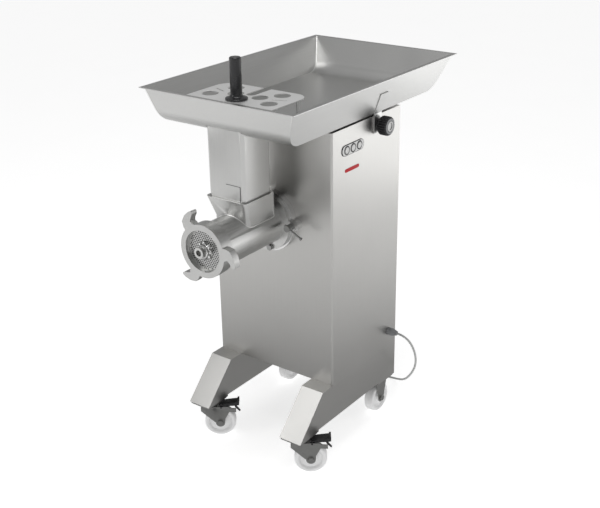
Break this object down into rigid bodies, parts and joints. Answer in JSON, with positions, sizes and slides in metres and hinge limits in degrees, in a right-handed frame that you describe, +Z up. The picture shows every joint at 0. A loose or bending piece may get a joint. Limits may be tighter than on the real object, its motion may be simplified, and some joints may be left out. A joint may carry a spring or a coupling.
{
  "type": "electric meat grinder",
  "caption": "Floor-standing electric meat grinder: steel cabinet on castored legs, deep tray with guard and pusher, feed tube and front mincing head with hooked ring nut.",
  "frame": {"origin": "on the floor under the middle of the machine's length and width, wheels resting on z = 0", "axes": "+Z up, -Y towards the front where the mincing head looks, +X towards the control side"},
  "size_m": [0.5734, 0.936, 1.261],
  "materials": {
    "brushed_sheet": "vertical fine brushed stainless sheet",
    "leg_sheet": "fine brushed stainless sheet",
    "tray_sheet": "satin stainless sheet",
    "satin_cast": "satin cast and machined stainless",
    "polished_steel": "bright machined steel",
    "zinc_steel": "zinc plated pressed steel",
    "tool_steel": "ground tool steel",
    "cast_box": "sand-cast aluminium",
    "motor_paint": "grey-blue paint",
    "black_plastic": "matt moulded plastic",
    "grey_plastic": "moulded plastic",
    "light_plastic": "smooth moulded plastic",
    "white_nylon": "cast white nylon",
    "seat_rubber": "moulded rubber",
    "cord_jacket": "grey smooth jacket"
  },
  "bodies": {
    "frame": {"base_plate": "brushed_sheet", "cabinet_shell": "brushed_sheet", "top_plate": "brushed_sheet", "rear_cover": "brushed_sheet", "rear_screws": "polished_steel", "tray_seats": "seat_rubber", "left_leg": "leg_sheet", "right_leg": "leg_sheet", "castor_plates": "zinc_steel", "castor_bolts": "zinc_steel", "rear_forks": "zinc_steel", "rear_axles": "zinc_steel", "mounting_collar": "satin_cast", "grinding_head": "satin_cast", "hole_plate": "polished_steel", "plate_key": "tool_steel", "flange_bolts": "polished_steel", "gearbox_housing": "cast_box", "gearbox_cover": "cast_box", "drive_bearings": "polished_steel", "shaft_seal": "seat_rubber", "motor_housing": "motor_paint", "fan_cover": "motor_paint", "control_box": "grey_plastic", "button_plate": "light_plastic", "switch_blocks": "black_plastic", "knob_stud": "polished_steel", "cable_gland": "grey_plastic", "mains_cord": "cord_jacket", "cord_coil": "cord_jacket", "mains_plug": "grey_plastic"},
    "tray": {"tray_pan": "tray_sheet", "feed_tube": "tray_sheet", "finger_guard": "tray_sheet", "lock_tab": "tray_sheet"},
    "pusher": {"pusher": "black_plastic"},
    "lock_knob": {"lock_knob": "black_plastic", "knob_insert": "polished_steel"},
    "drive": {"auger": "satin_cast", "knife": "tool_steel", "output_shaft": "tool_steel", "output_gear": "tool_steel"},
    "ring_nut": {"ring_nut": "satin_cast"},
    "layshaft": {"layshaft": "tool_steel"},
    "rotor": {"motor_rotor": "tool_steel", "motor_fan": "black_plastic"},
    "right_clamp": {"right_clamp_screw": "polished_steel"},
    "left_clamp": {"left_clamp_screw": "polished_steel"},
    "start_button": {"start_button": "light_plastic"},
    "stop_button": {"stop_button": "light_plastic"},
    "reverse_button": {"reverse_button": "light_plastic"},
    "left_castor": {"left_fork": "zinc_steel"},
    "left_wheel": {"left_wheel": "white_nylon"},
    "left_brake": {"left_brake": "black_plastic"},
    "right_castor": {"right_fork": "zinc_steel"},
    "right_wheel": {"right_wheel": "white_nylon"},
    "right_brake": {"right_brake": "black_plastic"},
    "rear_left_wheel": {"rear_left_wheel": "white_nylon"},
    "rear_right_wheel": {"rear_right_wheel": "white_nylon"}
  },
  "joints": [
    {"name": "tray_lift", "type": "slide", "parent": "frame", "child": "tray", "axis": [0, 0, 1], "range_m": [0, 0.25]},
    {"name": "pusher_slide", "type": "slide", "parent": "tray", "child": "pusher", "axis": [0, 0, 1], "range_m": [0, 0.35]},
    {"name": "lock_knob_turn", "type": "hinge", "parent": "frame", "child": "lock_knob", "pos_m": [0.2243, 0.0925, 1.018], "axis": [1, 0, 0], "range_deg": [0, 720]},
    {"name": "auger_spin", "type": "hinge", "parent": "frame", "child": "drive", "pos_m": [0, -0.13, 0.753], "axis": [0, 1, 0], "continuous": true},
    {"name": "layshaft_spin", "type": "hinge", "parent": "frame", "child": "layshaft", "pos_m": [0, -0.07, 0.653], "axis": [0, 1, 0], "continuous": true},
    {"name": "rotor_spin", "type": "hinge", "parent": "frame", "child": "rotor", "pos_m": [0, 0.06, 0.5655], "axis": [0, 1, 0], "continuous": true},
    {"name": "ring_nut_turn", "type": "hinge", "parent": "frame", "child": "ring_nut", "pos_m": [0, -0.43, 0.753], "axis": [0, -1, 0], "range_deg": [0, 720]},
    {"name": "right_clamp_turn", "type": "hinge", "parent": "frame", "child": "right_clamp", "pos_m": [0.098, -0.17, 0.757], "axis": [0, 1, 0], "range_deg": [-90, 90]},
    {"name": "left_clamp_turn", "type": "hinge", "parent": "frame", "child": "left_clamp", "pos_m": [-0.098, -0.17, 0.757], "axis": [0, 1, 0], "range_deg": [-90, 90]},
    {"name": "start_press", "type": "slide", "parent": "frame", "child": "start_button", "axis": [1, 0, 0], "range_m": [-0.003, 0], "stiffness_N_per_m": 400},
    {"name": "stop_press", "type": "slide", "parent": "frame", "child": "stop_button", "axis": [1, 0, 0], "range_m": [-0.003, 0], "stiffness_N_per_m": 400},
    {"name": "reverse_press", "type": "slide", "parent": "frame", "child": "reverse_button", "axis": [1, 0, 0], "range_m": [-0.003, 0], "stiffness_N_per_m": 400},
    {"name": "left_castor_swivel", "type": "hinge", "parent": "frame", "child": "left_castor", "pos_m": [-0.18, -0.2645, 0.115], "axis": [0, 0, 1], "continuous": true},
    {"name": "left_wheel_spin", "type": "hinge", "parent": "left_castor", "child": "left_wheel", "pos_m": [-0.15205, -0.24344, 0.05], "axis": [-0.6018, 0.7986, 0], "continuous": true},
    {"name": "left_brake_press", "type": "hinge", "parent": "left_castor", "child": "left_brake", "pos_m": [-0.14885, -0.24103, 0.105], "axis": [-0.6018, 0.7986, 0], "range_deg": [0, 10]},
    {"name": "rear_left_wheel_spin", "type": "hinge", "parent": "frame", "child": "rear_left_wheel", "pos_m": [-0.18, 0.1695, 0.05], "axis": [1, 0, 0], "continuous": true},
    {"name": "right_castor_swivel", "type": "hinge", "parent": "frame", "child": "right_castor", "pos_m": [0.18, -0.2645, 0.115], "axis": [0, 0, 1], "continuous": true},
    {"name": "right_wheel_spin", "type": "hinge", "parent": "right_castor", "child": "right_wheel", "pos_m": [0.20795, -0.24344, 0.05], "axis": [-0.6018, 0.7986, 0], "continuous": true},
    {"name": "right_brake_press", "type": "hinge", "parent": "right_castor", "child": "right_brake", "pos_m": [0.21115, -0.24103, 0.105], "axis": [-0.6018, 0.7986, 0], "range_deg": [0, 10]},
    {"name": "rear_right_wheel_spin", "type": "hinge", "parent": "frame", "child": "rear_right_wheel", "pos_m": [0.18, 0.1695, 0.05], "axis": [1, 0, 0], "continuous": true}
  ],
  "couplings": [
    {"joint": "layshaft_spin", "follows": "auger_spin", "ratio": -3},
    {"joint": "rotor_spin", "follows": "auger_spin", "ratio": 7.5}
  ]
}
